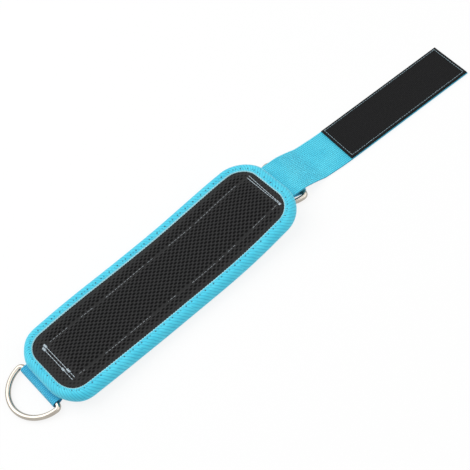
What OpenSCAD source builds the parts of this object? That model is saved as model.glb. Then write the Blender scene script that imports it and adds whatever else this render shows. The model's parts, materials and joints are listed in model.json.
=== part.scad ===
// Padded ankle cuff with a long strap, a hook patch and two D-rings.
// It lies open: +X points to the strap's tip, +Z is the skin side, and Z = 0 is the surface below.
// The origin lies under the middle of the pad. The pad is five sections, so that it can wrap.

/* [Pad] */
// Length of the pad
pad_l = 266; // [220:1:330]
// Width of the pad
pad_w = 87; // [76:1:110]
// Radius of the pad's corners
corner_r = 29; // [12:1:34]
// Thickness of the foam core
foam_t = 5.4; // [3:0.1:10]
// Thickness of the mesh lining
lining_t = 1.8; // [1:0.1:3]
// Thickness of the back cover
cover_t = 0.8; // [0.5:0.1:1.5]

/* [Edge binding] */
// Width of the binding that shows on each face
binding_w = 8.5; // [5:0.5:11]
// Thickness of the binding tape
binding_t = 0.6; // [0.4:0.1:1.2]

/* [Outer face] */
// Width of the carrier webbing
carrier_w = 48; // [36:1:56]
// Thickness of all webbing
web_t = 1.4; // [1:0.1:2]
// Distance from the pad's end to the carrier webbing, at the end ring
carrier_end = 21; // [16:1:30]
// Width of the loop patch
patch_w = 46; // [30:1:56]
// Thickness of the loop patch
patch_t = 1.6; // [1.2:0.1:2.4]

/* [D-rings] */
// Diameter of the ring wire
wire_d = 4.8; // [3.5:0.1:5.4]
// Clear width inside the end ring
ring_inner_w = 50; // [40:1:55]
// Clear width inside the side ring, which is centred on the strap
side_ring_inner_w = 44.5; // [40:0.5:55]
// Radius of the wire's centre line at the two corners
ring_corner_r = 3.2; // [3:0.1:6]
// Distance from the bar to the centre of the round side
ring_arc_offset = 0.5; // [0:0.5:6]
// Running clearance between the bar and its loop
loop_clearance = 0.15; // [0.1:0.05:0.4]
// Gap between the loop's ends and the ring's corners
loop_side_gap = 0.6; // [0.4:0.1:3]
// Distance from the end ring's bar to the pad's end, towards the middle
end_bar_inset = 1; // [0:0.5:3]
// Distance from the side ring's bar to the pad's end, away from the pad
side_bar_outset = 10; // [9:0.5:14]
// Length of the end ring's tab
end_tab_l = 26; // [20:1:34]
// Length of the side ring's tab
side_tab_l = 24; // [20:1:26]

/* [Strap] */
// Width of the strap
strap_w = 43.5; // [30:0.5:46]
// Angle of the strap to the pad's length
strap_yaw = 4.3; // [0:0.1:6]
// Distance from the pad's middle line to the strap's, at the pad's end
strap_offset = 2.5; // [0:0.5:5]
// Length that is sewn under the pad
strap_root_l = 19; // [16:1:30]
// Length of the stretch that comes down from the pad's end
strap_slope_l = 36; // [32:1:50]
// Bare length before the hook patch
strap_bare_l = 29; // [20:1:60]
// Bare length past the hook patch
strap_tip_l = 2; // [1:0.5:6]

/* [Hook patch] */
// Length of the hook patch
hook_l = 134; // [90:1:180]
// Width of the hook patch
hook_w = 42.5; // [26:0.5:45]
// Thickness of the hook patch
hook_t = 1.4; // [1:0.1:2.2]

/* [Stitching] */
// Distance between the two rows of a double row
row_pitch = 2.6; // [2:0.2:5]
// Length of a double row
row_l = 44; // [30:1:46]
// Distance from the pad's end to the ring tack
ring_tack_inset = 22; // [18:1:26]
// Distance from the binding to the strap tack
strap_tack_inset = 2; // [1.8:0.1:4]
// Distance from the hook patch's edge to its stitching
hook_seam_inset = 2.3; // [1.5:0.1:4]

/* [Hidden] */
$fn = 64;
sections = 5;
section_l = pad_l / sections;
gap = 0.4;              // between neighbours on different bodies
ease = 0.3;             // between the fillings and the binding's side wall
thread_d = 0.5;
thread_h = 0.3;
overlap = 0.02;         // between the arcs of one wire, in degrees
ring_room = 2.4;        // above the folded ring, under its tab's inner end

// Heights in a section, from the loop patch's face up
carrier_z = patch_t;
binding_z = carrier_z + web_t;
cover_z = binding_z + binding_t;
foam_z = cover_z + cover_t;
lining_z = foam_z + foam_t;
lining_top = lining_z + lining_t;
pad_top = lining_top + binding_t;

// Rings and their tabs
function ring_r(w) = (w + wire_d) / 2;
function ring_corner_y(w) =
    sqrt(pow(ring_r(w) - ring_corner_r, 2) - pow(ring_corner_r - ring_arc_offset, 2));
function ring_turn(w) = atan2(ring_corner_y(w), ring_corner_r - ring_arc_offset);
loop_bore_r = wire_d / 2 + loop_clearance;
loop_r = loop_bore_r + web_t - loop_clearance;
function tab_w(w) = 2 * (ring_corner_y(w) - loop_side_gap);
tab_t = 2 * web_t;
tab_z = carrier_z - tab_t;
bar_z = loop_r;
wire_rest_z = wire_d / 2 + 0.05;
function ring_tilt(w) = asin((bar_z - wire_rest_z) / (ring_arc_offset + ring_r(w)));
end_bar_x = end_bar_inset - pad_l / 2;
side_bar_x = side_bar_outset + pad_l / 2;

// The pad's ends are lifted by what lies under them: a tab at one, a tab on a folded ring at the other
end_lift = 2 * loop_r - carrier_z;
strap_lift = wire_d - tab_z + ring_room;
end_bend = asin(end_lift / (3 * section_l));
strap_bend = asin(strap_lift / (3 * section_l));

// Strap, in its own frame: X along it from the pad's end
slope_start = gap + 1.6;
slope_knee = side_bar_outset + loop_r + 1.4;
flat_start = strap_slope_l;
hook_start = flat_start + strap_bare_l;
hook_section_l = hook_l / 3;
carrier_stop = pad_l / 2 - strap_root_l * cos(strap_yaw) - strap_w / 2 * sin(strap_yaw) - ease;

// ---- Placing -------------------------------------------------------------------------------

// Where a point [x, z] of the flat pad lies once it is turned about a hinge line
function turned(p, x, a) =
    let (dx = p[0] - x, dz = p[1] - pad_top)
    [x + dx * cos(a) - dz * sin(a), pad_top + dx * sin(a) + dz * cos(a)];
// Where a point [x, z] of the flat pad's first (-1) or last (1) section lies
function in_end(side, p) =
    let (a = side * (side < 0 ? end_bend : strap_bend))
    turned(turned(p, side * 1.5 * section_l, a), side * 0.5 * section_l, a);

// Turns the children about a hinge line across the pad's top
module lifted(x, angle) {
    translate([x, 0, pad_top]) rotate([0, angle, 0]) translate([-x, 0, -pad_top]) children();
}

// Carries the children from the flat pad to where section k lies
module in_section(k) {
    if (k == 1) lifted(-0.5 * section_l, end_bend) lifted(-1.5 * section_l, end_bend) children();
    if (k == 2) lifted(-0.5 * section_l, end_bend) children();
    if (k == 3) children();
    if (k == 4) lifted(0.5 * section_l, -strap_bend) children();
    if (k == 5) lifted(0.5 * section_l, -strap_bend) lifted(1.5 * section_l, -strap_bend) children();
}

// Carries the children from the strap's own frame to the pad's
module in_strap() {
    translate([pad_l / 2, -strap_offset, 0]) rotate([0, 0, -strap_yaw]) children();
}

// ---- Shapes --------------------------------------------------------------------------------

// The pad's outline, drawn in by inset
module outline(inset) {
    l = pad_l - 2 * inset;
    w = pad_w - 2 * inset;
    r = max(corner_r - inset, 1);
    square([l - 2 * r, w], center = true);
    square([l, w - 2 * r], center = true);
    for (x = [-1, 1], y = [-1, 1]) translate([x * (l / 2 - r), y * (w / 2 - r)]) circle(r);
}

// The stretch of the pad that belongs to section k
module cell(k) {
    left = k == 1 ? -pad_l : (k - 1 - sections / 2) * section_l + gap / 2;
    right = k == sections ? pad_l : (k - sections / 2) * section_l - gap / 2;
    translate([left, -pad_w]) square([right - left, 2 * pad_w]);
}

// One flat layer of section k
module layer(k, inset, z, t) {
    in_section(k) translate([0, 0, z]) linear_extrude(t)
        intersection() { outline(inset); cell(k); }
}

// One flat strip of section k, along the pad's middle line, from x0 to x1
module strip(k, x0, x1, w, z, t) {
    in_section(k) translate([0, 0, z]) linear_extrude(t)
        intersection() { translate([x0, -w / 2]) square([x1 - x0, w]); cell(k); }
}

// A straight strip in the strap's frame, from x0 to x1
module strap_strip(x0, x1, w, z, t) {
    in_strap() translate([x0, -w / 2, z]) cube([x1 - x0, w, t]);
}

// An outline in X and Z, w wide across Y
module across(w) {
    rotate([90, 0, 0]) translate([0, 0, -w / 2]) linear_extrude(w) children();
}

// A round piece of wire along an arc, which starts at angle a0 and turns by a
module wire_arc(r, a0, a) {
    rotate([0, 0, a0]) rotate_extrude(angle = a) translate([r, 0]) circle(wire_d / 2);
}

// A D-ring with a clear width w. Its bar lies on the Y axis and its round side towards -X, tilted down
module d_ring(w) {
    corner_y = ring_corner_y(w);
    turn = ring_turn(w);
    rotate([0, -ring_tilt(w), 0]) {
        rotate([90, 0, 0]) cylinder(d = wire_d, h = 2 * corner_y + overlap, center = true);
        for (side = [-1, 1]) translate([-ring_corner_r, side * corner_y, 0])
            wire_arc(ring_corner_r, side > 0 ? 0 : turn - 180, 180 - turn);
        translate([-ring_arc_offset, 0, 0])
            wire_arc(ring_r(w), 180 - turn - overlap, 2 * (turn + overlap));
    }
}

// The side of a tab: a loop round a bar at [0, 0], and two layers of webbing from point a to b
module tab_side(a, b) {
    n = [a[1] - b[1], b[0] - a[0]] / norm(b - a) * tab_t / 2;
    neck = [0, (loop_r + loop_bore_r) / 2];
    up = b[0] > a[0] ? neck : -neck;
    difference() {
        union() {
            circle(loop_r);
            polygon([-up, a - n, b - n, b + n, a + n, up]);
        }
        circle(loop_bore_r);
    }
}

// Two rows of thread across the pad
module double_row(x) {
    for (row = [0, 1]) translate([x + row * row_pitch - thread_d / 2, -row_l / 2, lining_top])
        cube([thread_d, row_l, thread_h]);
}

// Carries the children to a ring's bar
module at_bar(x, y = 0) {
    translate([x, y, bar_z]) children();
}

// ---- Pad -----------------------------------------------------------------------------------

module foam_core(k) {
    color("lightyellow") layer(k, binding_t + ease, foam_z, foam_t);
}

module mesh_lining(k) {
    color([0.16, 0.17, 0.17]) layer(k, binding_t + ease, lining_z, lining_t);
}

module back_cover(k) {
    color([0.16, 0.17, 0.17]) layer(k, binding_t + ease, cover_z, cover_t);
}

module edge_binding(k) {
    color([0.34, 0.78, 0.86]) in_section(k) difference() {
        translate([0, 0, binding_z]) linear_extrude(pad_top - binding_z)
            intersection() { outline(0); cell(k); }
        translate([0, 0, cover_z]) linear_extrude(lining_top - cover_z) outline(binding_t);
        translate([0, 0, -1]) linear_extrude(pad_top + 2) outline(binding_w);
    }
}

module carrier_webbing(k) {
    color([0.30, 0.62, 0.74])
        strip(k, carrier_end - pad_l / 2, carrier_stop, carrier_w, carrier_z, web_t);
}

module loop_patch(k) {
    color([0.20, 0.21, 0.22]) strip(k, -pad_l / 2, pad_l / 2, patch_w, 0, patch_t);
}

// ---- Rings ---------------------------------------------------------------------------------

// The end ring lies flat outside the pad
module end_ring() {
    color("silver") at_bar(end_bar_x) d_ring(ring_inner_w);
}

// The side ring is folded back under the pad's end
module side_ring() {
    color("silver") at_bar(side_bar_x, -strap_offset) d_ring(side_ring_inner_w);
}

// Both tabs' flat ends lie against the carrier webbing's plane
module end_ring_tab() {
    a = in_end(-1, [end_bar_x + loop_r + 1, tab_z + tab_t / 2]) - [end_bar_x, bar_z];
    b = in_end(-1, [end_bar_x + end_tab_l, tab_z + tab_t / 2]) - [end_bar_x, bar_z];
    color([0.16, 0.55, 0.72]) at_bar(end_bar_x) across(tab_w(ring_inner_w)) tab_side(a, b);
}

module side_ring_tab() {
    a = in_end(1, [pad_l / 2 - 1, tab_z + tab_t / 2]) - [side_bar_x, bar_z];
    b = in_end(1, [side_bar_x - side_tab_l, tab_z + tab_t / 2]) - [side_bar_x, bar_z];
    color([0.16, 0.55, 0.72]) at_bar(side_bar_x, -strap_offset) across(tab_w(side_ring_inner_w))
        tab_side(a, b);
}

// ---- Strap ---------------------------------------------------------------------------------

module strap_root() {
    color([0.34, 0.78, 0.86]) in_section(5)
        strap_strip(-strap_root_l, slope_start - gap / 2, strap_w, carrier_z, web_t);
}

// Comes down from the pad's end, over the side ring's loop, to the surface
module strap_slope() {
    top = in_end(1, [pad_l / 2 + slope_start, carrier_z]);
    x0 = (top[0] - pad_l / 2) / cos(strap_yaw) + gap / 2;
    z0 = top[1];
    z1 = 2 * loop_r + ease;
    foot = flat_start - gap / 2;
    color([0.34, 0.78, 0.86]) in_strap() across(strap_w)
        polygon([[x0, z0], [slope_knee, z1], [foot, 0], [foot, web_t],
                 [slope_knee, z1 + web_t], [x0, z0 + web_t]]);
}

module strap_flat() {
    color([0.34, 0.78, 0.86])
        strap_strip(flat_start + gap / 2, hook_start - gap / 2, strap_w, 0, web_t);
}

// A section of the strap under the hook patch
module strap_grip(k) {
    x0 = hook_start + (k - 1) * hook_section_l;
    x1 = x0 + hook_section_l;
    color([0.34, 0.78, 0.86])
        strap_strip(x0 + gap / 2, k == 3 ? x1 + strap_tip_l : x1 - gap / 2, strap_w, 0, web_t);
}

module hook_patch(k) {
    x0 = hook_start + (k - 1) * hook_section_l;
    color([0.11, 0.11, 0.11])
        strap_strip(x0 + gap / 2, x0 + hook_section_l - gap / 2, hook_w, web_t, hook_t);
}

// The thread round the hook patch's edge, and the part of it that lies on section k
module hook_stitches(k) {
    x0 = hook_start + (k - 1) * hook_section_l;
    color([0.45, 0.62, 0.70]) in_strap() translate([0, 0, web_t + hook_t]) linear_extrude(thread_h)
        intersection() {
            difference() {
                hook_seam(hook_seam_inset);
                hook_seam(hook_seam_inset + thread_d);
            }
            translate([x0 + gap / 2, -hook_w]) square([hook_section_l - gap, 2 * hook_w]);
        }
}
module hook_seam(inset) {
    translate([hook_start + inset, -hook_w / 2 + inset])
        square([hook_l - 2 * inset, hook_w - 2 * inset]);
}

// ---- Stitching through the pad --------------------------------------------------------------

module ring_tack_stitches() {
    color("white") in_section(1) double_row(-pad_l / 2 + ring_tack_inset);
}

module strap_tack_stitches() {
    color("white") in_section(5)
        double_row(pad_l / 2 - binding_w - strap_tack_inset - row_pitch);
}

for (k = [1:sections]) {
    foam_core(k);
    mesh_lining(k);
    back_cover(k);
    edge_binding(k);
    carrier_webbing(k);
}
for (k = [2:4]) loop_patch(k);
for (k = [1:3]) {
    strap_grip(k);
    hook_patch(k);
    hook_stitches(k);
}
end_ring_tab();
end_ring();
side_ring_tab();
side_ring();
strap_root();
strap_slope();
strap_flat();
ring_tack_stitches();
strap_tack_stitches();
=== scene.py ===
"""A padded ankle cuff that lies open: the looks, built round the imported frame.

Lengths are in millimetres until a mesh is made. A layer of the pad or the strap is laid out along a
curve: s runs along it, y across it, and h stands up from the layer's base.
"""
import json
import math
from collections import namedtuple

import bmesh
import bpy
import numpy as np
from mathutils import Matrix, Vector


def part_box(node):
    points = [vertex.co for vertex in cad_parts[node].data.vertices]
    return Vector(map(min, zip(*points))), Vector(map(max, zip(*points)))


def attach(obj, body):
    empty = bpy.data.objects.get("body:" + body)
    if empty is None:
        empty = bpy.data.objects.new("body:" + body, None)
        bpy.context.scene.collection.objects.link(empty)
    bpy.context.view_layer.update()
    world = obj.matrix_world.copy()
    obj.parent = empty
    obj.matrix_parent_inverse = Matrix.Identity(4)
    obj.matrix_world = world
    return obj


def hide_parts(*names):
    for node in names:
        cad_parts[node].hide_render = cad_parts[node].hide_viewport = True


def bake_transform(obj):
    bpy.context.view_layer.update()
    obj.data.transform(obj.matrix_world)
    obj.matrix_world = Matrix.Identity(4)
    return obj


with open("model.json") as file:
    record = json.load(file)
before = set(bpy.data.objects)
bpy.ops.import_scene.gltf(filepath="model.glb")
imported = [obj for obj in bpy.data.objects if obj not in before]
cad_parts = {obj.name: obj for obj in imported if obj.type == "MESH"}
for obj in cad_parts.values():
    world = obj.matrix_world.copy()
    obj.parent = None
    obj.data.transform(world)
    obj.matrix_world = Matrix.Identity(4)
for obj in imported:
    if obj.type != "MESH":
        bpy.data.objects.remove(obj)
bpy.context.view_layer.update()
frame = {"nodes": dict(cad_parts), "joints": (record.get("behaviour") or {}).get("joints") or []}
MM = 0.001
FINE = 0.25                  # the step along a curve
LAYER_GAP = 0.05             # keeps two layers' faces apart

# ---- Sizes, from the frame where it has them ----

JOINTS = {j["name"]: j for j in frame["joints"]}


def low(node):
    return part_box(node)[0] / MM


def high(node):
    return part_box(node)[1] / MM


def pivot(joint):
    return Vector(JOINTS[joint]["pos_m"]) / MM


PAD_TOP = high("edge_binding_3").z
LINING_TOP = high("mesh_lining_3").z
LINING_Z = low("mesh_lining_3").z
FOAM_Z = low("foam_core_3").z
COVER_Z = low("back_cover_3").z
CARRIER_Z = low("carrier_webbing_3").z
WEB_T = high("carrier_webbing_3").z - CARRIER_Z
PATCH_T = high("loop_patch_3").z
HALF_W = high("edge_binding_3").y
HALF_CARRIER = high("carrier_webbing_3").y
HALF_PATCH = high("loop_patch_3").y
SECTION = 2 * pivot("wrap").x
HALF_L = 2.5 * SECTION
END_HINGE = 1.5 * SECTION    # how far the outer hinges are from the middle
BAR_END = pivot("end_ring_swing")
BAR_SIDE = pivot("side_ring_swing")
CORNER_R = 29.0
BINDING_W = 8.6
LAYER_INSET = 3.0            # from the pad's edge to the layers inside the binding
SEAM_FAR, SEAM_NEAR = 20.4, -22.4    # the two lengthwise rows
RING_TACK = (-111.0, -108.4)     # the double rows across
STRAP_TACK = (116.4, 119.0)
ROW_PITCH = 3.3
TACK_PITCH = 3.0
BEND_REACH = 24.0            # how far from a hinge the pad's resting curve reaches

YAW = math.atan2(JOINTS["strap_curl"]["axis"][0], JOINTS["strap_curl"]["axis"][1]) - math.pi
STRAP_HALF = 21.75
HOOK_HALF = 21.25
TAB_T = 1.2                  # a tab's webbing
TAB_TURN = 3.1               # the middle of a tab's webbing, from its bar's middle
HOOK_TOP = high("hook_patch_2").z


# ---- Curves ----

def smooth(t):
    t = np.clip(t, 0, 1)
    return t * t * (3 - 2 * t)


def pad_pull(s, y):
    """Where the sewing pulls a place of the pad: its ends draw in, and its middle sags to one side."""
    drawn = 3.9 * smooth((-s - 109) / 24) - 1.8 * smooth((s - 100) / 33)
    sag = -1.9 * smooth((s + 110) / 170)
    far = -3.6 * np.exp(-((s + 126) / 40) ** 2) - 3.4 * np.exp(-((s - 130) / 32) ** 2)
    near = -1.3 * np.exp(-((s - 62) / 42) ** 2)
    return s + drawn, y + sag + far * smooth((y + 5) / 45) + near * smooth((5 - y) / 45)


def strap_pull(s, y):
    """The strap drifts a little to its far side before the hook patch."""
    return s, y + 1.7 * np.exp(-((s - 52) / 20) ** 2)


class Curve:
    """A line in a vertical plane, which layers follow. Its plane is turned by yaw about origin."""

    def __init__(self, s, x, z, base=0.0, origin=(0.0, 0.0), yaw=0.0, pull=None):
        self.s, self.x, self.z = s, x, z
        self.angle = np.unwrap(np.arctan2(np.gradient(z, s), np.gradient(x, s)))
        self.base, self.origin, self.yaw, self.pull = base, origin, yaw, pull

    def place(self, s, y, h):
        """Points in the frame's axes, for places along, across and above the curve."""
        s, y, h = np.broadcast_arrays(np.asarray(s, float), y, h)
        if self.pull:
            s, y = self.pull(s, y)
        a = np.interp(s, self.s, self.angle)
        up = h - self.base
        u = np.interp(s, self.s, self.x) - up * np.sin(a)
        z = np.interp(s, self.s, self.z) + up * np.cos(a)
        c, d = math.cos(self.yaw), math.sin(self.yaw)
        return np.stack([self.origin[0] + u * c + y * d, self.origin[1] - u * d + y * c, z], -1)

    @classmethod
    def through(cls, points, ease, **rest):
        """A curve through points of its plane, with its corners eased over a length."""
        p = np.array(points, float)
        s = np.concatenate([[0], np.cumsum(np.hypot(*np.diff(p, axis=0).T))])
        fine = np.arange(0, s[-1] + FINE / 2, FINE)
        run_on = 50.0
        ramp = np.concatenate([[-run_on], s, [s[-1] + run_on]])
        first = p[0] - (p[1] - p[0]) / s[1] * run_on
        last = p[-1] + (p[-1] - p[-2]) / (s[-1] - s[-2]) * run_on
        p = np.vstack([first, p, last])
        reach = np.linspace(-ease, ease, 33)
        weight = np.cos(reach / ease * math.pi / 2) ** 2
        weight /= weight.sum()
        x = sum(w * np.interp(fine + r, ramp, p[:, 0]) for r, w in zip(reach, weight))
        z = sum(w * np.interp(fine + r, ramp, p[:, 1]) for r, w in zip(reach, weight))
        return cls(fine, x, z, **rest)


def pad_curve():
    """The open pad, a shallow boat: its ends are lifted by the tabs and the ring under them."""
    def slope(inner, outer):
        way = pivot(outer) - pivot(inner)
        return math.atan2(way.z, abs(way.x))

    bend_ring = slope("wrap_ring_side", "wrap_ring_end")
    bend_strap = slope("wrap", "wrap_strap_end")
    s = np.arange(-HALF_L - 20, HALF_L + 20, FINE)
    angle = np.zeros_like(s)
    for hinge in (0.5 * SECTION, END_HINGE):
        turn = smooth((np.abs(s) - hinge + BEND_REACH) / (2 * BEND_REACH))
        angle += np.where(s > 0, bend_strap, -bend_ring) * turn
    x = np.cumsum(np.cos(angle)) * FINE
    z = np.cumsum(np.sin(angle)) * FINE
    x -= np.interp(0, s, x)
    z -= np.interp(0, s, z)
    return Curve(s, x, z + PAD_TOP, base=PAD_TOP, pull=pad_pull)


PAD = pad_curve()

# A cell is a stretch of the pad, from s0 to s1, round the hinge that it bends about. It stands for
# the CAD layers with its numbers.
Cell = namedtuple("Cell", "name s0 s1 hinge bodies numbers")
CELLS = [
    Cell("ring_end", -HALF_L, -SECTION, "wrap_ring_end", ("pad_1", "pad_2"), (1,)),
    Cell("ring_side", -SECTION, 0.0, "wrap_ring_side", ("pad_2", "pad_3"), (2,)),
    Cell("middle", 0.0, SECTION, "wrap", ("pad_3", "pad_4"), (3,)),
    Cell("strap_end", SECTION, HALF_L, "wrap_strap_end", ("pad_4", "pad_5"), (4, 5)),
]


def bend_with(obj):
    """Bakes the piece's transform into its mesh."""
    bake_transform(obj)


# ---- Meshes ----

def piece(name, points, faces, material, weave, mark=None, sharp=45):
    """A mesh object from points in millimetres, with its weave coordinates and marks as attributes."""
    mesh = bpy.data.meshes.new(name)
    mesh.from_pydata((np.asarray(points) * MM).tolist(), [], faces)
    b = bmesh.new()
    b.from_mesh(mesh)
    bmesh.ops.recalc_face_normals(b, faces=b.faces)
    b.to_mesh(mesh)
    b.free()
    mesh.polygons.foreach_set("use_smooth", np.ones(len(mesh.polygons), bool))
    mesh.set_sharp_from_angle(angle=math.radians(sharp))
    layer = mesh.attributes.new("weave", "FLOAT_VECTOR", "POINT")
    layer.data.foreach_set("vector", np.asarray(weave, np.float32).ravel())
    if mark is not None:
        layer = mesh.attributes.new("mark", "FLOAT", "POINT")
        layer.data.foreach_set("value", np.asarray(mark, np.float32).ravel())
    mesh.materials.append(material)
    obj = bpy.data.objects.new(name, mesh)
    bpy.context.scene.collection.objects.link(obj)
    return obj


def grid_faces(rows, cols, start=0):
    i = np.arange(rows - 1)[:, None] * cols + np.arange(cols - 1)[None, :] + start
    return np.stack([i, i + 1, i + cols + 1, i + cols], -1).reshape(-1, 4).tolist()


def slab(name, curve, s, v, half, top, bottom, material, hole=None, full=True):
    """A closed layer: a grid of stations s by shares v of its half width, with a top and an underside.

    half is a function of s, and top and bottom are functions of s and y. Where full is false the
    underside is one strip, as wide as the slab.
    """
    s, v = np.asarray(s, float), np.asarray(v, float)
    S = np.repeat(s[:, None], len(v), 1)
    Y = v[None, :] * half(s)[:, None]
    rows, cols = S.shape
    vb = v if full else v[[0, -1]]
    SB = np.repeat(s[:, None], len(vb), 1)
    YB = vb[None, :] * half(s)[:, None]
    points = np.vstack([
        curve.place(S, Y, top(S, Y)).reshape(-1, 3),
        curve.place(SB, YB, bottom(SB, YB)).reshape(-1, 3),
    ])
    n, m = rows * cols, len(vb)
    faces = grid_faces(rows, cols) + grid_faces(rows, m, n)
    i = np.arange(rows - 1)
    for edge, under in ((0, 0), (cols - 1, m - 1)):
        a, b = i * cols + edge, n + i * m + under
        faces += np.stack([a, a + cols, b + m, b], -1).tolist()
    for r in (0, rows - 1):
        upper = (r * cols + np.arange(cols)).tolist()
        under = (n + r * m + np.arange(m)).tolist()
        faces.append(upper + under[::-1])
    weave = np.vstack([
        np.stack([S, Y, np.zeros_like(S)], -1).reshape(-1, 3),
        np.stack([SB, YB, np.zeros_like(SB)], -1).reshape(-1, 3),
    ])
    mark = None
    if hole is not None:
        mark = np.concatenate([hole(S, Y).ravel(), np.zeros(SB.size)])
    return piece(name, points, faces, material, weave, mark)


def level(value):
    """A slab's half width, top or underside that is the same all over."""
    return lambda s, y=None: value + 0 * s


def spread(s0, s1, step):
    """Evenly spaced places from s0 to s1, about a step apart."""
    return np.linspace(s0, s1, max(2, int(round((s1 - s0) / step)) + 1))


def shares(half, step, rim):
    """Shares of a half width, from -1 to 1, closer together over the rim where an edge is rounded."""
    flat = spread(-(half - rim), half - rim, step)
    turn = half - rim + rim * np.sin(np.linspace(0, math.pi / 2, 5)[1:])
    return np.concatenate([-turn[::-1], flat, turn]) / half


def rounded(half, rim):
    """How much of a strip's thickness is left near its rounded edges."""
    def share(y):
        t = np.clip((np.abs(y) - (half - rim)) / rim, 0, 1)
        return np.sqrt(np.clip(1 - t * t, 0.01, 1))
    return share


def half_outline(inset):
    """The pad's half width as a function of s, drawn in by inset."""
    r = CORNER_R - inset

    def half(s):
        past = np.clip(np.abs(s) - (HALF_L - inset - r), 0, r)
        return HALF_W - inset - r + np.sqrt(np.clip(r * r - past * past, 0, None))
    return half


def waves(s, y, size, seed):
    """Low, soft unevenness, from a few sums of sines."""
    pick = np.random.default_rng(seed)
    total = np.zeros_like(s, float)
    for _ in range(5):
        length, turn, shift = pick.uniform(25, 70), pick.uniform(0, math.pi), pick.uniform(0, 6)
        total += np.sin(2 * math.pi * (s * math.cos(turn) + y * math.sin(turn)) / length + shift)
    return total * size / 5


def stitches(name, centres, along, length, width, material, up=1.0, sink=None):
    """Short rounded threads, each lying along a direction with its middle raised, as one piece.

    up is 1 on an upper face and -1 on an underside, and sink is how deep each thread has gone in.
    """
    centres, along = np.asarray(centres, float), np.asarray(along, float)
    up = np.tile([0.0, 0.0, up], (len(centres), 1))
    along /= np.linalg.norm(along, axis=1)[:, None]
    side = np.cross(up, along)
    side /= np.linalg.norm(side, axis=1)[:, None]
    up = np.cross(along, side)
    t = np.array([-1.0, -0.86, -0.45, 0.0, 0.45, 0.86, 1.0])
    fat = np.array([0.35, 0.8, 1.0, 1.0, 1.0, 0.8, 0.35]) * width / 2
    rise = (1 - t * t) * width * 0.6 - width * 0.25
    ring = np.arange(6) * math.pi / 3
    raised = rise[None, :] - (0 if sink is None else np.asarray(sink)[:, None])
    spine = (
        centres[:, None, :] + along[:, None, :] * (t * length / 2)[None, :, None]
        + up[:, None, :] * raised[:, :, None]
    )
    offset = (
        side[:, None, None, :] * np.cos(ring)[None, None, :, None]
        + up[:, None, None, :] * np.sin(ring)[None, None, :, None]
    ) * fat[None, :, None, None]
    points = (spine[:, :, None, :] + offset).reshape(-1, 3)
    per = len(t) * 6
    thread = []
    for k in range(len(t) - 1):
        for j in range(6):
            a, b = k * 6 + j, k * 6 + (j + 1) % 6
            thread.append((a, b, b + 6, a + 6))
    thread += [tuple(range(6)), tuple(range(per - 6, per))]
    faces = [tuple(i + n * per for i in face) for n in range(len(centres)) for face in thread]
    weave = np.zeros_like(points)
    weave[:, 0] = np.tile(np.repeat(t * length / 2, 6), len(centres))
    weave[:, 1] = np.tile(np.tile(ring, len(t)), len(centres))
    return piece(name, points, faces, material, weave, sharp=80)


def border(s0, s1, half, inset, pitch, lo, hi):
    """Stitch places round a patch: s, y and the way each lies, for those between lo and hi."""
    spots = []
    for y in (-half + inset, half - inset):
        spots += [(s, y, 1.0, 0.0) for s in np.arange(s0 + inset + pitch / 2, s1 - inset, pitch)]
    for s in (s0 + inset, s1 - inset):
        spots += [(s, y, 0.0, 1.0) for y in np.arange(-half + inset + pitch / 2, half - inset, pitch)]
    return np.array([spot for spot in spots if lo <= spot[0] < hi]).T


# ---- Materials ----

def srgb(r, g, b):
    """A colour given as 0 to 255, in linear light."""
    def linear(c):
        c /= 255
        return c / 12.92 if c <= 0.04045 else ((c + 0.055) / 1.055) ** 2.4
    return (linear(r), linear(g), linear(b), 1.0)


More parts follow.
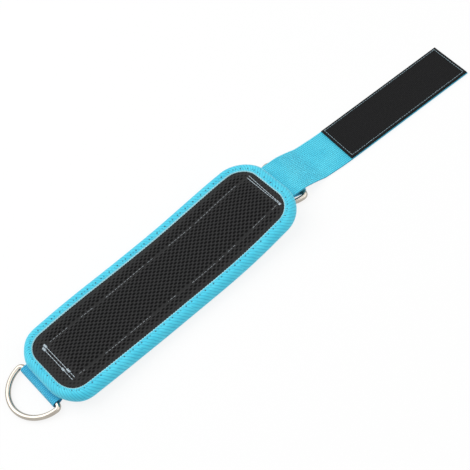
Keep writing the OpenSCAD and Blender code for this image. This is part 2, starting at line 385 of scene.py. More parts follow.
class Nodes:
    """A material's nodes, with short ways to make and join them."""

    def __init__(self, name, roughness, sheen=0.0, metallic=0.0, specular=0.5):
        self.material = bpy.data.materials.new(name)
        self.material.use_nodes = True
        self.tree = self.material.node_tree
        self.shader = self.tree.nodes["Principled BSDF"]
        s = self.shader.inputs
        s["Roughness"].default_value = roughness
        s["Metallic"].default_value = metallic
        s["Specular IOR Level"].default_value = specular
        s["Sheen Weight"].default_value = sheen
        s["Sheen Roughness"].default_value = 0.5

    def node(self, kind, **values):
        n = self.tree.nodes.new(kind)
        for key, value in values.items():
            setattr(n, key, value)
        return n

    def join(self, a, b):
        self.tree.links.new(a, b)

    def put(self, socket, value):
        if isinstance(value, (int, float, tuple)):
            socket.default_value = value
        else:
            self.join(value, socket)

    def math(self, operation, a, b=0.0, c=None):
        n = self.node("ShaderNodeMath", operation=operation)
        self.put(n.inputs[0], a)
        self.put(n.inputs[1], b)
        if c is not None:
            self.put(n.inputs[2], c)
        return n.outputs[0]

    def weave(self):
        """The piece's own coordinates in millimetres: along, across."""
        a = self.node("ShaderNodeAttribute", attribute_name="weave")
        parts = self.node("ShaderNodeSeparateXYZ")
        self.join(a.outputs["Vector"], parts.inputs[0])
        return a.outputs["Vector"], parts.outputs[0], parts.outputs[1]

    def mark(self):
        return self.node("ShaderNodeAttribute", attribute_name="mark").outputs["Fac"]

    def wave(self, distance, pitch, shift=0.0):
        """A sine from 0 to 1 along a distance."""
        turned = self.math("MULTIPLY_ADD", distance, 2 * math.pi / pitch, shift)
        return self.math("MULTIPLY_ADD", self.math("SINE", turned), 0.5, 0.5)

    def noise(self, vector, scale, detail=3.0, roughness=0.6):
        n = self.node("ShaderNodeTexNoise")
        n.inputs["Scale"].default_value = scale
        n.inputs["Detail"].default_value = detail
        n.inputs["Roughness"].default_value = roughness
        self.join(vector, n.inputs["Vector"])
        return n.outputs["Fac"]

    def mix(self, share, a, b):
        n = self.node("ShaderNodeMix", data_type="RGBA")
        self.put(n.inputs["Factor"], share)
        self.put(n.inputs[6], a)
        self.put(n.inputs[7], b)
        return n.outputs[2]

    def ramp(self, value, low_at, high_at):
        n = self.node("ShaderNodeMapRange", clamp=True)
        n.inputs["From Min"].default_value = low_at
        n.inputs["From Max"].default_value = high_at
        self.join(value, n.inputs["Value"])
        return n.outputs[0]

    def bump(self, height, distance, strength=1.0):
        """Relief of a height from 0 to 1, in millimetres."""
        n = self.node("ShaderNodeBump")
        n.inputs["Strength"].default_value = strength
        n.inputs["Distance"].default_value = distance * MM
        self.join(height, n.inputs["Height"])
        self.join(n.outputs[0], self.shader.inputs["Normal"])

    def color(self, value):
        self.put(self.shader.inputs["Base Color"], value)


def webbing_material(name, dark, middle, light, warp=1.8, weft=2.1):
    """Plain-woven webbing: fine warp ribs along it, crossed by the weft, with soft uneven tone."""
    m = Nodes(name, roughness=0.62, sheen=0.25, specular=0.35)
    vector, along, across = m.weave()
    row = m.math("FLOOR", m.math("DIVIDE", across, warp))
    shifted = m.math("MULTIPLY_ADD", row, math.pi, m.math("MULTIPLY", along, 2 * math.pi / weft))
    float_over = m.math("MULTIPLY_ADD", m.math("SINE", shifted), 0.5, 0.5)
    rib = m.math("ABSOLUTE", m.math("SINE", m.math("MULTIPLY", across, math.pi / warp)))
    height = m.math("MULTIPLY", m.math("POWER", rib, 0.6), m.math("MULTIPLY_ADD", float_over, 0.5, 0.5))
    soft = m.noise(vector, 0.045, 2.0)
    fine = m.noise(vector, 2.6, 4.0)
    tone = m.math("MULTIPLY_ADD", m.ramp(soft, 0.3, 0.7), 0.45, m.math("MULTIPLY", fine, 0.5))
    body = m.mix(tone, middle, light)
    m.color(m.mix(m.ramp(height, 0.6, 0.05), body, dark))
    m.bump(m.math("MULTIPLY_ADD", fine, 0.25, height), 0.4, 0.9)
    return m.material


def binding_material(name, dark, middle, light, edge):
    """Twill tape: diagonal ribs with fine cross threads, stitch pits painted darker as shade, and a
    pale selvedge.
    """
    m = Nodes(name, roughness=0.6, sheen=0.25, specular=0.35)
    vector, along, across = m.weave()
    slope = m.math("MULTIPLY_ADD", across, -0.88, along)
    rib = m.wave(m.math("MULTIPLY_ADD", m.noise(vector, 0.12, 2.0), 2.0, slope), 3.5)
    thread = m.wave(m.math("MULTIPLY_ADD", across, 1.0, along), 1.1)
    height = m.math("MULTIPLY_ADD", thread, 0.3, m.math("MULTIPLY", m.math("POWER", rib, 0.7), 0.8))
    soft = m.noise(vector, 0.06, 2.0)
    fine = m.noise(vector, 2.2, 4.0)
    tone = m.math("MULTIPLY_ADD", m.ramp(soft, 0.3, 0.7), 0.4, m.math("MULTIPLY", fine, 0.5))
    body = m.mix(m.ramp(height, 0.5, -0.25), m.mix(tone, middle, light), dark)
    mark = m.mark()
    # Painted shade: the stitch pits are darkened to a deep cyan.
    pits_shaded = m.mix(m.ramp(mark, 0.2, 0.75), body, srgb(8, 62, 88))
    m.color(m.mix(m.ramp(mark, -0.2, -1.0), pits_shaded, edge))
    m.bump(m.math("MULTIPLY_ADD", fine, 0.2, height), 0.2, 0.7)
    return m.material


def lining_material():
    """Spacer mesh: charcoal yarn round oval holes, painted near black as the shade inside them."""
    m = Nodes("spacer mesh", roughness=0.85, sheen=0.03, specular=0.15)
    vector, along, across = m.weave()
    yarn = m.noise(vector, 3.2, 4.0, 0.7)
    knit = m.math("MULTIPLY", m.wave(along, 0.75), m.wave(across, 0.6))
    body = m.mix(m.math("MULTIPLY_ADD", knit, 0.5, m.math("MULTIPLY", yarn, 0.6)),
                 srgb(30, 31, 32), srgb(66, 66, 66))
    # Painted shade: the hole mark darkens each hole to near black.
    m.color(m.mix(m.ramp(m.mark(), 0.05, 0.5), body, srgb(2, 2, 3)))
    m.bump(m.math("ADD", knit, yarn), 0.12, 0.7)
    return m.material


def knit_material(name, dark, light, scale, relief, sheen=0.2):
    """A plain dark fabric with a fine fuzzy or knitted face."""
    m = Nodes(name, roughness=0.9, sheen=sheen, specular=0.2)
    vector, along, across = m.weave()
    fuzz = m.noise(vector, scale, 5.0, 0.7)
    knit = m.math("MULTIPLY", m.wave(along, 1.1), m.wave(across, 0.9))
    mix = m.math("MULTIPLY_ADD", knit, 0.35, m.math("MULTIPLY", fuzz, 0.8))
    m.color(m.mix(mix, dark, light))
    m.bump(mix, relief, 0.8)
    return m.material


def hook_material():
    """Hook tape: rows of tiny hooks that give a matt, finely speckled black."""
    m = Nodes("hook tape", roughness=0.75, specular=0.12)
    vector, along, across = m.weave()
    hooks = m.math("MULTIPLY", m.wave(along, 1.5), m.wave(across, 1.2))
    speck = m.noise(vector, 2.4, 5.0, 0.75)
    tone = m.math("MULTIPLY_ADD", m.math("POWER", hooks, 2.0), 0.5, m.math("MULTIPLY", speck, 0.7))
    m.color(m.mix(m.ramp(tone, 0.25, 0.95), srgb(8, 8, 9), srgb(44, 44, 45)))
    m.bump(m.math("ADD", hooks, m.math("MULTIPLY", speck, 0.8)), 0.35, 0.9)
    return m.material


def thread_material(name, dark, light):
    """Spun thread, with its twist."""
    m = Nodes(name, roughness=0.55, sheen=0.3, specular=0.4)
    _, along, around = m.weave()
    twist = m.math("SINE", m.math("MULTIPLY_ADD", along, 9.0, around))
    twist = m.math("MULTIPLY_ADD", twist, 0.5, 0.5)
    m.color(m.mix(twist, dark, light))
    m.bump(twist, 0.05, 0.6)
    return m.material


def foam_material():
    m = Nodes("foam", roughness=0.95, specular=0.2)
    vector, _, _ = m.weave()
    cells = m.noise(vector, 1.6, 4.0, 0.7)
    m.color(m.mix(cells, srgb(190, 184, 160), srgb(232, 228, 210)))
    m.bump(cells, 0.3, 0.7)
    return m.material


def nickel_material():
    """Bright nickel plate, with faint rubbing marks along the wire."""
    m = Nodes("nickel plate", roughness=0.18, metallic=1.0)
    place = m.node("ShaderNodeTexCoord").outputs["Object"]
    rub = m.noise(place, 900.0, 3.0)
    broad = m.noise(place, 60.0, 2.0)
    m.color(m.mix(broad, srgb(158, 150, 140), srgb(190, 184, 174)))
    m.put(m.shader.inputs["Roughness"], m.math("MULTIPLY_ADD", rub, 0.12, 0.1))
    m.bump(rub, 0.01, 0.3)
    return m.material


CYAN_DARK = srgb(10, 134, 174)
CYAN = srgb(44, 194, 226)
CYAN_LIGHT = srgb(96, 226, 246)
PALE_EDGE = srgb(178, 224, 233)

STRAP_WEB = webbing_material("strap webbing", CYAN_DARK, CYAN, CYAN_LIGHT)
# The tabs are the same cyan webbing as the strap; these deeper tones are painted shade for the loops.
SHADED_TAB_WEB = webbing_material("tab webbing", srgb(6, 108, 160), srgb(34, 172, 216), srgb(80, 206, 236))
CARRIER_WEB = webbing_material("carrier webbing", srgb(30, 124, 158), srgb(62, 176, 208), CYAN_LIGHT)
BINDING = binding_material("binding tape", srgb(6, 120, 166), CYAN, CYAN_LIGHT, PALE_EDGE)
LINING = lining_material()
COVER = knit_material("back cover", srgb(22, 23, 24), srgb(52, 53, 55), 2.0, 0.15)
LOOP_PILE = knit_material("loop pile", srgb(14, 14, 16), srgb(58, 58, 61), 1.1, 0.9, 0.1)
HOOK = hook_material()
FOAM = foam_material()
WHITE_THREAD = thread_material("white thread", srgb(168, 190, 204), srgb(226, 236, 242))
ROW_THREAD = thread_material("grey thread", srgb(112, 120, 126), srgb(186, 192, 196))
CYAN_THREAD = thread_material("cyan thread", srgb(70, 176, 206), srgb(150, 222, 236))
HOOK_THREAD = thread_material("patch thread", srgb(100, 132, 144), srgb(178, 200, 208))
NICKEL = nickel_material()


# ---- The pad ----

HOLE_ALONG = 5.1
HOLE_ACROSS = 2.25
HOLE_HALF_ALONG, HOLE_HALF_ACROSS = 1.65, 1.05
HOLE_DEPTH = 0.9
CROWN = 1.5                  # how far the lining swells between its edges
SEAM_DEPTH = 0.95
TACK_DEPTH = 0.6


def row_reach(s):
    """1 where the lengthwise rows run, from the ring tack to the strap tack."""
    return smooth((s - RING_TACK[1]) / 3) * smooth((STRAP_TACK[0] - s) / 3)


def lining_rest(s, y):
    """The lining's face without its holes: crowned between seams, drawn down at seams and edge."""
    edge = half_outline(BINDING_W)(s) - np.abs(y)
    end = HALF_L - BINDING_W - np.abs(s)
    inside = np.clip(np.minimum(edge, end), 0, None)
    crown = CROWN * (1 - np.exp(-inside / 6.0)) - 0.5
    seam = sum(np.exp(-((y - at) / 2.0) ** 2) for at in (SEAM_FAR, SEAM_NEAR)) * row_reach(s)
    tack = sum(np.exp(-((s - x) / 1.5) ** 2) for x in RING_TACK + STRAP_TACK)
    tack = tack * smooth((26 - np.abs(y)) / 3)
    return LINING_TOP + crown - SEAM_DEPTH * seam - TACK_DEPTH * tack + waves(s, y, 0.35, 3)


def mesh_hole(s, y):
    """1 in the middle of a hole of the spacer mesh, 0 on the yarn between holes."""
    row = np.round(y / HOLE_ACROSS)
    shift = np.where(np.mod(row, 2) > 0.5, HOLE_ALONG / 2, 0)
    a = (np.mod(s - shift + HOLE_ALONG / 2, HOLE_ALONG) - HOLE_ALONG / 2) / HOLE_HALF_ALONG
    b = (y - row * HOLE_ACROSS) / HOLE_HALF_ACROSS
    hole = np.clip(1.3 - np.hypot(a, b), 0, 1)
    return hole * (0.25 + 0.75 * open_mesh(s, y))


def open_mesh(s, y):
    """How open the mesh is: it is pulled flat beside the binding, the tacks and the rows."""
    edge = half_outline(BINDING_W)(s) - np.abs(y)
    end = HALF_L - BINDING_W - np.abs(s)
    inward = smooth((np.minimum(edge, end) - 2.0) / 7.0)
    ends = smooth((s - RING_TACK[1] - 1) / 9) * smooth((STRAP_TACK[0] - 1 - s) / 7)
    row = 1 - sum(np.exp(-((y - at) / 1.6) ** 2) for at in (SEAM_FAR, SEAM_NEAR))
    return inward * (0.35 + 0.65 * ends) * row


def lining_top(s, y):
    return lining_rest(s, y) - HOLE_DEPTH * smooth(mesh_hole(s, y))


def layer_reach(cell):
    """Where the cell's layers inside the binding start and end."""
    end = HALF_L - LAYER_INSET
    return max(cell.s0, -end), min(cell.s1, end)


def replace_layers(layer, cell):
    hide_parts(*(f"{layer}_{number}" for number in cell.numbers))


def lining(cell):
    step = 0.5
    across = 0.9 * step / (HALF_W - LAYER_INSET)
    columns = np.arange(-1, 1, across)
    columns[-1] = 1.0            # the last one moves out to the edge
    obj = slab(
        f"mesh_lining_{cell.name}", PAD, spread(*layer_reach(cell), step), columns,
        half_outline(LAYER_INSET), lining_top, level(LINING_Z), LINING,
        hole=mesh_hole, full=False)
    replace_layers("mesh_lining", cell)
    return obj


def foam(cell):
    obj = slab(
        f"foam_core_{cell.name}", PAD, spread(*layer_reach(cell), 4), np.linspace(-1, 1, 33),
        half_outline(LAYER_INSET), level(LINING_Z - LAYER_GAP), level(FOAM_Z), FOAM)
    replace_layers("foam_core", cell)
    return obj


def cover(cell):
    """The back cover, which swells a little on both sides of the carrier webbing."""
    lo, hi = layer_reach(cell)
    half = half_outline(LAYER_INSET)

    def under(s, y):
        beside = smooth((np.abs(y) - 24) / 4) * smooth((36 - np.abs(y)) / 5)
        return COVER_Z + waves(s, y, 0.12, 5) - 0.25 * beside

    obj = slab(
        f"back_cover_{cell.name}", PAD, spread(lo, hi, 2), np.linspace(-1, 1, 49), half,
        level(FOAM_Z - LAYER_GAP), under, COVER)
    replace_layers("back_cover", cell)
    at = spread(lo, hi, 0.5)
    widths = 2 * half(at)
    return obj


def carrier(cell):
    lo = max(cell.s0, RING_TACK[0] - 1)
    hi = min(cell.s1, high("carrier_webbing_5").x + 0.4)
    rim = 0.8
    share = rounded(HALF_CARRIER, rim)
    middle = CARRIER_Z + WEB_T / 2
    obj = slab(
        f"carrier_webbing_{cell.name}", PAD, spread(lo, hi, 1.5), shares(HALF_CARRIER, 2, rim),
        level(HALF_CARRIER),
        lambda s, y: middle + (WEB_T / 2 - LAYER_GAP) * share(y),
        lambda s, y: middle - WEB_T / 2 * share(y), CARRIER_WEB)
    replace_layers("carrier_webbing", cell)
    return obj


def loop_patch(cell):
    """The loop patch, which ends just short of the outer hinges, and its seam."""
    reach = END_HINGE - 0.2
    lo, hi = max(cell.s0, -reach), min(cell.s1, reach)
    rim = 0.7
    share = rounded(HALF_PATCH, rim)
    obj = slab(
        f"loop_patch_{cell.name}", PAD, spread(lo, hi, 1.5), shares(HALF_PATCH, 2, rim),
        level(HALF_PATCH),
        lambda s, y: PATCH_T / 2 + (PATCH_T / 2 - LAYER_GAP) * share(y),
        lambda s, y: PATCH_T / 2 - PATCH_T / 2 * share(y) + 0.02, LOOP_PILE)
    if cell.name != "ring_end":
        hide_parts(f"loop_patch_{cell.numbers[0]}")
    s, y, ds, dy = border(-reach, reach, HALF_PATCH, 2.4, 2.8, lo, hi)
    seam = stitches(
        f"patch_stitches_{cell.name}", PAD.place(s, y, 0.12), np.stack([ds, dy, 0 * ds], 1),
        2.1, 0.4, HOOK_THREAD, up=-1.0)
    return [obj, seam]


def pad_layers(cell):
    """The lining, foam, back cover, carrier webbing and loop patch of one cell."""
    top = lining(cell)
    core = foam(cell)
    back = cover(cell)
    webbing = carrier(cell)
    return [top, core, back, webbing] + loop_patch(cell)


STITCH = 3.0          # the binding's stitch length, and of all patterns along it
STITCH_AT = 6.2       # the binding's seam, from the pad's edge


def outline_walk(name):
    """One cell's share of the outline, as stretches of stations: (s, y, outward s, outward y).

    The walk is anticlockwise seen from above. With each stretch come the lengths along it, eased
    so that the whole is an even number of stitches.
    """
    straight = HALF_L - CORNER_R
    inner = HALF_W - CORNER_R
    quarter = CORNER_R * math.pi / 2

    def line(a, b, y, out):
        n = int(round(abs(b - a) / 0.5))
        s = np.linspace(a, b, n + 1)
        return np.stack([s, 0 * s + y, 0 * s, 0 * s + out], 1)

    def corner(cx, cy, a0):
        a = np.linspace(a0, a0 + math.pi / 2, int(quarter / 0.5) + 1)
        c, d = np.cos(a), np.sin(a)
        return np.stack([cx + CORNER_R * c, cy + CORNER_R * d, c, d], 1)

    def end(side):
        s = side * HALF_L
        y = np.linspace(-inner * side, inner * side, int(round(2 * inner / 0.5)) + 1)
        return np.stack([0 * y + s, y, 0 * y + side, 0 * y], 1)

    if name == "middle":
        walks = [[line(0, SECTION, -HALF_W, -1)], [line(SECTION, 0, HALF_W, 1)]]
    elif name == "ring_side":
        walks = [[line(-SECTION, 0, -HALF_W, -1)], [line(0, -SECTION, HALF_W, 1)]]
    elif name == "strap_end":
        walks = [[line(SECTION, straight, -HALF_W, -1), corner(straight, -inner, -math.pi / 2),
                  end(1), corner(straight, inner, 0.0), line(straight, SECTION, HALF_W, 1)]]
    else:
        walks = [[line(-SECTION, -straight, HALF_W, 1), corner(-straight, inner, math.pi / 2),
                  end(-1), corner(-straight, -inner, math.pi), line(-straight, -SECTION, -HALF_W, -1)]]
    found = []
    for parts in walks:
        path = np.vstack([parts[0]] + [p[1:] for p in parts[1:]])
        run = np.concatenate([[0], np.cumsum(np.hypot(*np.diff(path[:, :2], axis=0).T))])
        whole = round(run[-1] / (2 * STITCH)) * 2 * STITCH
        found.append((path, run / run[-1] * whole))
    return found


def binding_profile():
    """The tape's section, as (inset, height) pairs: its outer face from lip to lip."""
    lip = PAD_TOP - 0.75
    low_lip = COVER_Z - 0.35
    crown, belly = PAD_TOP + 0.45, CARRIER_Z + WEB_T - 0.55
    knots = np.array([
        (BINDING_W + 0.1, lip), (BINDING_W - 0.2, lip + 0.5), (7.4, crown - 0.35),
        (STITCH_AT, crown - 0.3), (5.0, crown), (3.6, crown - 0.1), (2.2, crown - 0.9),
        (1.0, crown - 2.2), (0.25, crown - 3.9), (0.0, (crown + belly) / 2), (0.25, belly + 3.4),
        (1.0, belly + 1.9), (2.2, belly + 0.8), (3.6, belly + 0.15), (5.0, belly),
        (STITCH_AT, belly + 0.15), (7.4, belly + 0.1), (BINDING_W - 0.3, low_lip - 0.15),
        (BINDING_W, low_lip)])
    run = np.concatenate([[0], np.cumsum(np.hypot(*np.diff(knots, axis=0).T))])
    fine = spread(0, run[-1], 0.62)
    d = np.interp(fine, run, knots[:, 0])
    h = np.interp(fine, run, knots[:, 1])
    for _ in range(2):
        d[1:-1] = (d[:-2] + 2 * d[1:-1] + d[2:]) / 4
        h[1:-1] = (h[:-2] + 2 * h[1:-1] + h[2:]) / 4
    return d, h, fine


def binding_stretch(path, run, profile, start):
    """One stretch of the tape: its points, faces, weave coordinates and marks."""
    d, h, across = profile
    nd, nh = np.gradient(h), -np.gradient(d)
    size = np.hypot(nd, nh)
    nd, nh = nd / size, nh / size
    thick = 0.6
    U = run[:, None] + 0 * d[None, :]
    D = d[None, :] + 0 * U
    H = h[None, :] + 0 * U
    phase = np.mod(U + STITCH / 2, STITCH) - STITCH / 2
    # pit sinks the tape at each stitch, and through the mark it also paints shade there.
    pit = np.exp(-(phase / 0.75) ** 2 - ((D - STITCH_AT) / 0.75) ** 2)
    pit *= 0.7 + 0.4 * np.sin(2.3 * np.floor(U / STITCH + 0.5))
    edge = smooth((D - BINDING_W + 0.75) / 0.6)
    scallop = np.abs(np.sin(math.pi * U / 2.4)) * edge
    sink = waves(U, H * 6, 0.12, 11) - 0.3 * pit
    s, y, out_s, out_y = (column[:, None] for column in path.T)
    D1, H1 = D - nd * sink + 0.7 * scallop, H - nh * sink
    D2, H2 = D + nd * thick + 0.6 * scallop, H + nh * thick
    outer = PAD.place(s - out_s * D1, y - out_y * D1, H1)
    inner = PAD.place(s - out_s * D2, y - out_y * D2, H2)
    points = np.concatenate([outer, inner[:, ::-1]], 1)
    rows, wide = points.shape[:2]
    i = np.arange(rows - 1)[:, None] * wide + start
    j = np.arange(wide)[None, :]
    k = (j + 1) % wide
    faces = np.stack([i + j, i + k, i + wide + k, i + wide + j], -1).reshape(-1, 4).tolist()
    for end in (0, rows - 1):
        faces.append((start + end * wide + np.arange(wide)).tolist())
    both = np.tile(np.concatenate([across, across[::-1]]), (rows, 1))
    along = np.repeat(U[:, :1], wide, 1)
    mark = pit - edge
    marks = np.concatenate([mark, mark[:, ::-1]], 1)
    return (points.reshape(-1, 3), faces, np.stack([along, both, 0 * both], -1).reshape(-1, 3),
            marks.ravel())


def binding(cell):
    """The tape folded round the pad's edge, with stitch pits and a scalloped selvedge."""
    profile = binding_profile()
    points, faces, weave, marks = [], [], [], []
    for path, run in outline_walk(cell.name):
        stretch = binding_stretch(path, run, profile, sum(len(part) for part in points))
        points.append(stretch[0])
        faces += stretch[1]
        weave.append(stretch[2])
        marks.append(stretch[3])
    tape = piece(f"edge_binding_{cell.name}", np.vstack(points), faces, BINDING,
                 np.vstack(weave), np.concatenate(marks), sharp=70)
    replace_layers("edge_binding", cell)
    return tape


def seam_stitches(cell):
    """The binding's own stitches, one between each two pits, on both faces."""
    made = []
    crown, belly = PAD_TOP + 0.32, CARRIER_Z + WEB_T - 0.5
    for face, height, up in (("top", crown, 1), ("under", belly, -1)):
        centres, along = [], []
        for path, run in outline_walk(cell.name):
            at = np.arange(STITCH / 2, run[-1], STITCH)
            s, y, out_s, out_y = (np.interp(at, run, column) for column in path.T)
            centres.append(PAD.place(s - out_s * STITCH_AT, y - out_y * STITCH_AT, height))
            along.append(np.stack([-out_y, out_s, 0 * out_s], 1))
        made.append(stitches(f"binding_stitches_{face}_{cell.name}", np.vstack(centres),
                             np.vstack(along), 2.3, 0.55, CYAN_THREAD, up))
    return made


def row_stitches(cell):
    """The two lengthwise rows. The mesh swallows some of their stitches."""
    made = []
    s0, s1 = max(cell.s0, RING_TACK[1] + 2), min(cell.s1, STRAP_TACK[0] - 2)
    margin = 1.4
    at = np.arange(math.ceil(s0 / ROW_PITCH) * ROW_PITCH, s1 - margin, ROW_PITCH)
    at = at[at > s0 + margin]
    for label, middle, shown in (("far", SEAM_FAR, 0.5), ("near", SEAM_NEAR, -0.1)):
        y = middle + 0.5 * np.sin(at / 17.0 + middle)
        height = lining_rest(at, y) + 0.1
        swell = np.sin(at / 5.1 + middle) + np.sin(at / 13.7 + 2 * middle)
        hidden = 0.6 * smooth(-2 * (swell + shown))
        centres = PAD.place(at, y, height)
        ahead = PAD.place(at + 1, y, height) - centres
        made.append(stitches(f"row_stitches_{label}_{cell.name}", centres, ahead, 2.5, 0.42,
                             ROW_THREAD, sink=hidden))
    return made


def tack(name, rows, body, node, y0, y1, skew):
    """A double row across the pad. The second row leans, so that it meets the first near its end."""
    centres, along = [], []
    for k, s in enumerate(rows):
        y = np.arange(y0, y1, TACK_PITCH) + 0.6 * k
        x = s + k * skew * (y1 - y)
        centres.append(PAD.place(x, y, lining_rest(x, y) + 0.2))
        along.append(np.tile([-k * skew, 1.0, 0.0], (len(y), 1)))
    line = stitches(f"{name}_rows", np.vstack(centres), np.vstack(along), 2.7, 0.5, WHITE_THREAD)
    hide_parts(node)
    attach(line, body)


def under_rows(cell):
    """The lengthwise rows where they show on the bare carrier webbing of the underside."""
    bare = END_HINGE + 1.5
    if cell.name == "ring_end":
        s0, s1 = RING_TACK[1] + 2, -bare
    else:
        s0, s1 = bare, STRAP_TACK[0] - 5
    at = np.arange(s0 + 1, s1, ROW_PITCH)
    height = CARRIER_Z - 0.02
    made = []
    for label, y in (("far", SEAM_FAR), ("near", SEAM_NEAR)):
        centres = PAD.place(at, y, height)
        ahead = PAD.place(at + 1, y, height) - centres
        made.append(stitches(f"under_row_{label}_{cell.name}", centres, ahead, 2.4, 0.45,
                             CYAN_THREAD, up=-1.0))
    return made


def under_tack(name, rows, height, body):
    """A double row across, where it comes out on the webbing of the underside."""
    y = np.arange(-18.0, 18.1, TACK_PITCH)
    centres = np.vstack([PAD.place(s, y, height) for s in rows])
    along = np.tile([0.0, 1.0, 0.0], (len(centres), 1))
    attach(stitches(name, centres, along, 2.5, 0.5, CYAN_THREAD, up=-1.0), body)


def bar_tacks(name, spots, body):
    """Dense zigzag tacks: each spot is (s, y, length)."""
    centres, along = [], []
    pitch = 0.55
    for s, y, length in spots:
        n = int(length / pitch)
        ys = y + (np.arange(n) - n / 2) * pitch
        centres.append(PAD.place(s, ys, lining_rest(s + 0 * ys, ys) + 0.4))
        along.append(np.stack([np.ones(n), np.where(np.arange(n) % 2, 0.35, -0.35), np.zeros(n)], 1))
    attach(stitches(name, np.vstack(centres), np.vstack(along), 2.4, 0.55, WHITE_THREAD), body)


def build_pad():
    for cell in CELLS:
        pieces = pad_layers(cell) + [binding(cell)] + seam_stitches(cell) + row_stitches(cell)
        if cell.name.endswith("_end"):
            pieces += under_rows(cell)
        for obj in pieces:
            bend_with(obj)
    under_tack("ring_tack_under", RING_TACK, CARRIER_Z - 1.5 * WEB_T - 0.6, "pad_1")
    under_tack("strap_tack_under", STRAP_TACK, CARRIER_Z - 0.02, "pad_5")
    tack("ring_tack", RING_TACK, "pad_1", "ring_tack_stitches", -22.0, 20.0, 0.0)
    tack("strap_tack", STRAP_TACK, "pad_5", "strap_tack_stitches", -24.0, 20.0, -0.04)
    bar_tacks("ring_bar_tacks", [(RING_TACK[0], 18.5, 4.5), (RING_TACK[1], 20.5, 4.5),
                                 (RING_TACK[0], -10.0, 3.5), (RING_TACK[1], -14.0, 4)], "pad_1")
    bar_tacks("strap_bar_tacks", [(STRAP_TACK[0], -24.0, 1.7)], "pad_5")


# ---- Ring tabs and rings ----

def tab(name, bar, inner_end, outer_end, node, body):
    """A loop of webbing round a ring's bar: in along the lower layer, round, and back above it."""
    lower, upper = CARRIER_Z - 1.5 * WEB_T, CARRIER_Z - 0.55 * WEB_T
    flat = [PAD.place(s, 0, lower)[[0, 2]] for s in (inner_end, outer_end)]
    back = [PAD.place(s, 0, upper)[[0, 2]] for s in (outer_end, inner_end)]
    outward = inner_end < bar.x
    angles = np.radians(np.linspace(-70, 70, 15) if outward else np.linspace(250, 110, 15))
    round_bar = [(bar.x + TAB_TURN * math.cos(a), bar.z + TAB_TURN * math.sin(a)) for a in angles]
    curve = Curve.through(flat + round_bar + back, ease=1.0)
    half = (high(node).y - low(node).y) / 2
    curve.origin = (0.0, high(node).y - half)
    share = rounded(half, TAB_T / 2)
    length = curve.s[-1]
    web = slab(
        name, curve, spread(0, length, 0.5), shares(half, 2.0, TAB_T / 2), level(half),
        lambda s, y: TAB_T / 2 * share(y),
        lambda s, y: -TAB_T / 2 * share(y), SHADED_TAB_WEB)
    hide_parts(node)
    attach(web, body)


def build_rings():
    tab("end_ring_loop", BAR_END, -106.0, -127.0, "end_ring_tab", "pad_1")
    tab("side_ring_loop", BAR_SIDE, 120.0, 131.5, "side_ring_tab", "pad_5")
    for name in ("end_ring", "side_ring"):
        ring = frame["nodes"][name]
        ring.data.materials.clear()
        ring.data.materials.append(NICKEL)
        ring.data.polygons.foreach_set("use_smooth", np.ones(len(ring.data.polygons), bool))


# ---- The strap ----

def strap_curve():
    """The strap's middle layer: from under the pad, down over the ring's tab, along the surface."""
    def ahead(x):
        return (x - HALF_L) / math.cos(YAW)

    start = [PAD.place(s, 0, CARRIER_Z + WEB_T / 2) for s in (HALF_L - 19, HALF_L + 2)]
    points = [(ahead(p[0]), p[2]) for p in start]
    loop_top = 2 * BAR_SIDE.z
    points.append((15.2, loop_top + 0.6 + WEB_T / 2))
    lying = WEB_T / 2 + 0.02
    tip = high("strap_grip_3").x - STRAP_HALF * math.sin(YAW)
    points += [(ahead(pivot("strap_curl_2").x), lying), (ahead(tip), lying)]
    return Curve.through(points, ease=5.0, origin=(HALF_L, BAR_SIDE.y), yaw=YAW, pull=strap_pull)


STRAP = strap_curve()


def strap_s(joint):
    """Where along the strap a hinge lies."""
    u = (pivot(joint).x - HALF_L) / math.cos(YAW)
    return float(np.interp(u, STRAP.x, STRAP.s))


def strap_bend(obj, joint, before, after):
    """Bakes the piece's transform into its mesh. The ends of the stretch about the hinge are found, but
    the piece is not bent.
    """
    s = strap_s(joint)
    start, end = (STRAP.place(s + d, 0, 0) * MM for d in (-before, after))
    end[2] = start[2]
    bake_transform(obj)


def hook_seam(number, lo, hi, s0, s1):
    """The thread round the hook patch, on the stretch from lo to hi."""
    s, y, ds, dy = border(s0, s1, HOOK_HALF, 2.3, 2.6, lo, hi)
    centres = STRAP.place(s, y, HOOK_TOP - WEB_T / 2 + 0.05)
    c, d = math.cos(YAW), math.sin(YAW)
    along = np.stack([ds * c + dy * d, -ds * d + dy * c, 0 * ds], 1)
    seam = stitches(f"hook_seam_{number}", centres, along, 2.2, 0.45, HOOK_THREAD)
    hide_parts(f"hook_stitches_{number}")
    return seam


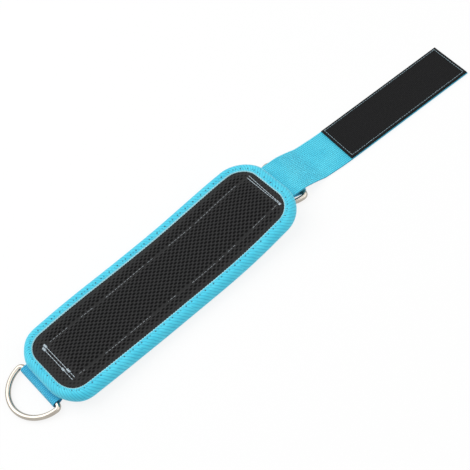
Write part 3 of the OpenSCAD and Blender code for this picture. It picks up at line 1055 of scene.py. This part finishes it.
def build_strap():
    """The strap's webbing, in five pieces, with the hook patch and its seam on the last three."""
    hinges = ["strap_curl", "strap_curl_2", "strap_curl_3", "strap_curl_4", "strap_curl_5"]
    at = [strap_s(joint) for joint in hinges]
    cuts = [0.0] + [(a + b) / 2 for a, b in zip(at, at[1:])] + [STRAP.s[-1]]
    nodes = [("strap_root", "strap_slope"), ("strap_flat",), ("strap_grip_1",), ("strap_grip_2",),
             ("strap_grip_3",)]
    hook_s0, hook_s1 = at[2] + 0.2, STRAP.s[-1] - 0.6
    web_rim, hook_rim = 0.7, 0.5
    web_share = rounded(STRAP_HALF, web_rim)
    hook_share = rounded(HOOK_HALF, hook_rim)

    def swell(s, y):
        """The bare stretch of the strap is a little uneven."""
        uneven = waves(s, y, 0.25, 31) * smooth((s - 20) / 20) * smooth((at[2] - s) / 15)
        return np.maximum(uneven, 0)

    for k, joint in enumerate(hinges):
        s0, s1 = cuts[k], cuts[k + 1]
        before = min(12.0, at[k] - s0 - 0.5) if k else 3.0
        after = min(12.0, s1 - at[k] - 0.5)
        web = slab(
            f"strap_webbing_{k + 1}", STRAP, spread(s0, s1, 1.0), shares(STRAP_HALF, 1.5, web_rim),
            level(STRAP_HALF),
            lambda s, y: WEB_T / 2 * web_share(y) + swell(s, y),
            lambda s, y: -WEB_T / 2 * web_share(y) + swell(s, y), STRAP_WEB)
        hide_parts(*nodes[k])
        strap_bend(web, joint, before, after)
        if k < 2:
            continue
        lo, hi = max(s0, hook_s0), min(s1, hook_s1)
        hook = slab(
            f"hook_patch_{k - 1}_face", STRAP, spread(lo, hi, 1.0),
            shares(HOOK_HALF, 1.5, hook_rim), level(HOOK_HALF),
            lambda s, y: WEB_T / 2 + 0.1 + (HOOK_TOP - WEB_T - 0.1) * hook_share(y),
            level(WEB_T / 2 + 0.02), HOOK)
        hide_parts(f"hook_patch_{k - 1}")
        strap_bend(hook, joint, before, after)
        seam = hook_seam(k - 1, lo, hi, hook_s0, hook_s1)
        strap_bend(seam, joint, before, after)


# ---- Camera, floor and light ----

def build_camera():
    """Looks down at the cuff from its near side, rolled so that the strap climbs to the right."""
    target = Vector((74.6, -8.9, 0.0)) * MM
    heading, elevation, roll = (math.radians(a) for a in (63.7, 55.0, -18.5))
    distance = 1027.4 * MM
    ahead = Vector((math.cos(heading) * math.cos(elevation),
                    math.sin(heading) * math.cos(elevation), -math.sin(elevation)))
    sideways = Vector((math.sin(heading), -math.cos(heading), 0.0))
    upright = sideways.cross(ahead)
    right = sideways * math.cos(roll) + upright * math.sin(roll)
    up = upright * math.cos(roll) - sideways * math.sin(roll)
    data = bpy.data.cameras.new("camera")
    data.sensor_width = 36.0
    data.lens = 91.9149
    camera = bpy.data.objects.new("camera", data)
    turn = Matrix((right, up, -ahead)).transposed()
    camera.matrix_world = Matrix.Translation(target - ahead * distance) @ turn.to_4x4()
    bpy.context.scene.collection.objects.link(camera)
    bpy.context.scene.camera = camera


def seen_rays(tree):
    """1 for rays that show the white background: from the camera, and through gloss or glass."""
    path = tree.nodes.new("ShaderNodeLightPath")
    total = path.outputs["Is Camera Ray"]
    for kind in ("Is Glossy Ray", "Is Transmission Ray"):
        more = tree.nodes.new("ShaderNodeMath")
        more.operation = "ADD"
        more.use_clamp = True
        tree.links.new(total, more.inputs[0])
        tree.links.new(path.outputs[kind], more.inputs[1])
        total = more.outputs[0]
    return total


def build_floor():
    """A white floor, which the camera sees as white and which keeps the cuff's shadow."""
    size = 4.0
    drop = 0.4                   # the loop patch's seam reaches 0.2 below the frame's floor
    whitened = 0.85              # the rest shows the shadow
    mesh = bpy.data.meshes.new("floor")
    mesh.from_pydata([(-size, -size, 0), (size, -size, 0), (size, size, 0), (-size, size, 0)], [],
                     [(0, 1, 2, 3)])
    floor = bpy.data.objects.new("floor", mesh)
    floor.location.z = -drop * MM
    bpy.context.scene.collection.objects.link(floor)
    material = bpy.data.materials.new("white floor")
    material.use_nodes = True
    tree = material.node_tree
    shader = tree.nodes["Principled BSDF"]
    shader.inputs["Base Color"].default_value = (0.92, 0.92, 0.92, 1)
    shader.inputs["Roughness"].default_value = 0.9
    shader.inputs["Specular IOR Level"].default_value = 0.1
    glow = tree.nodes.new("ShaderNodeEmission")
    mix = tree.nodes.new("ShaderNodeMixShader")
    share = tree.nodes.new("ShaderNodeMath")
    share.operation = "MULTIPLY"
    share.inputs[1].default_value = whitened
    tree.links.new(seen_rays(tree), share.inputs[0])
    tree.links.new(share.outputs[0], mix.inputs[0])
    tree.links.new(shader.outputs[0], mix.inputs[1])
    tree.links.new(glow.outputs[0], mix.inputs[2])
    tree.links.new(mix.outputs[0], tree.nodes["Material Output"].inputs[0])
    mesh.materials.append(material)


def build_light():
    """A white world, which lights the cuff at a low level, and two broad lamps."""
    seen, lighting = 1.0, 0.35
    world = bpy.data.worlds.new("studio")
    bpy.context.scene.world = world
    world.use_nodes = True
    tree = world.node_tree
    background = tree.nodes["Background"]
    background.inputs["Color"].default_value = (1, 1, 1, 1)
    strength = tree.nodes.new("ShaderNodeMath")
    strength.operation = "MULTIPLY_ADD"
    strength.inputs[1].default_value = seen - lighting
    strength.inputs[2].default_value = lighting
    tree.links.new(seen_rays(tree), strength.inputs[0])
    tree.links.new(strength.outputs[0], background.inputs["Strength"])
    for name, place, size, power in (
        ("key", (-0.5, 0.9, 1.5), 2.0, 28.0),
        ("fill", (0.9, -0.9, 1.3), 2.2, 15.0),
    ):
        data = bpy.data.lights.new(name, "AREA")
        data.size, data.energy = size, power
        lamp = bpy.data.objects.new(name, data)
        lamp.location = place
        lamp.rotation_euler = (-Vector(place)).to_track_quat("-Z", "Y").to_euler()
        bpy.context.scene.collection.objects.link(lamp)


build_camera()
build_pad()
build_rings()
build_strap()
build_floor()
build_light()
bpy.context.scene.view_settings.view_transform = "Standard"
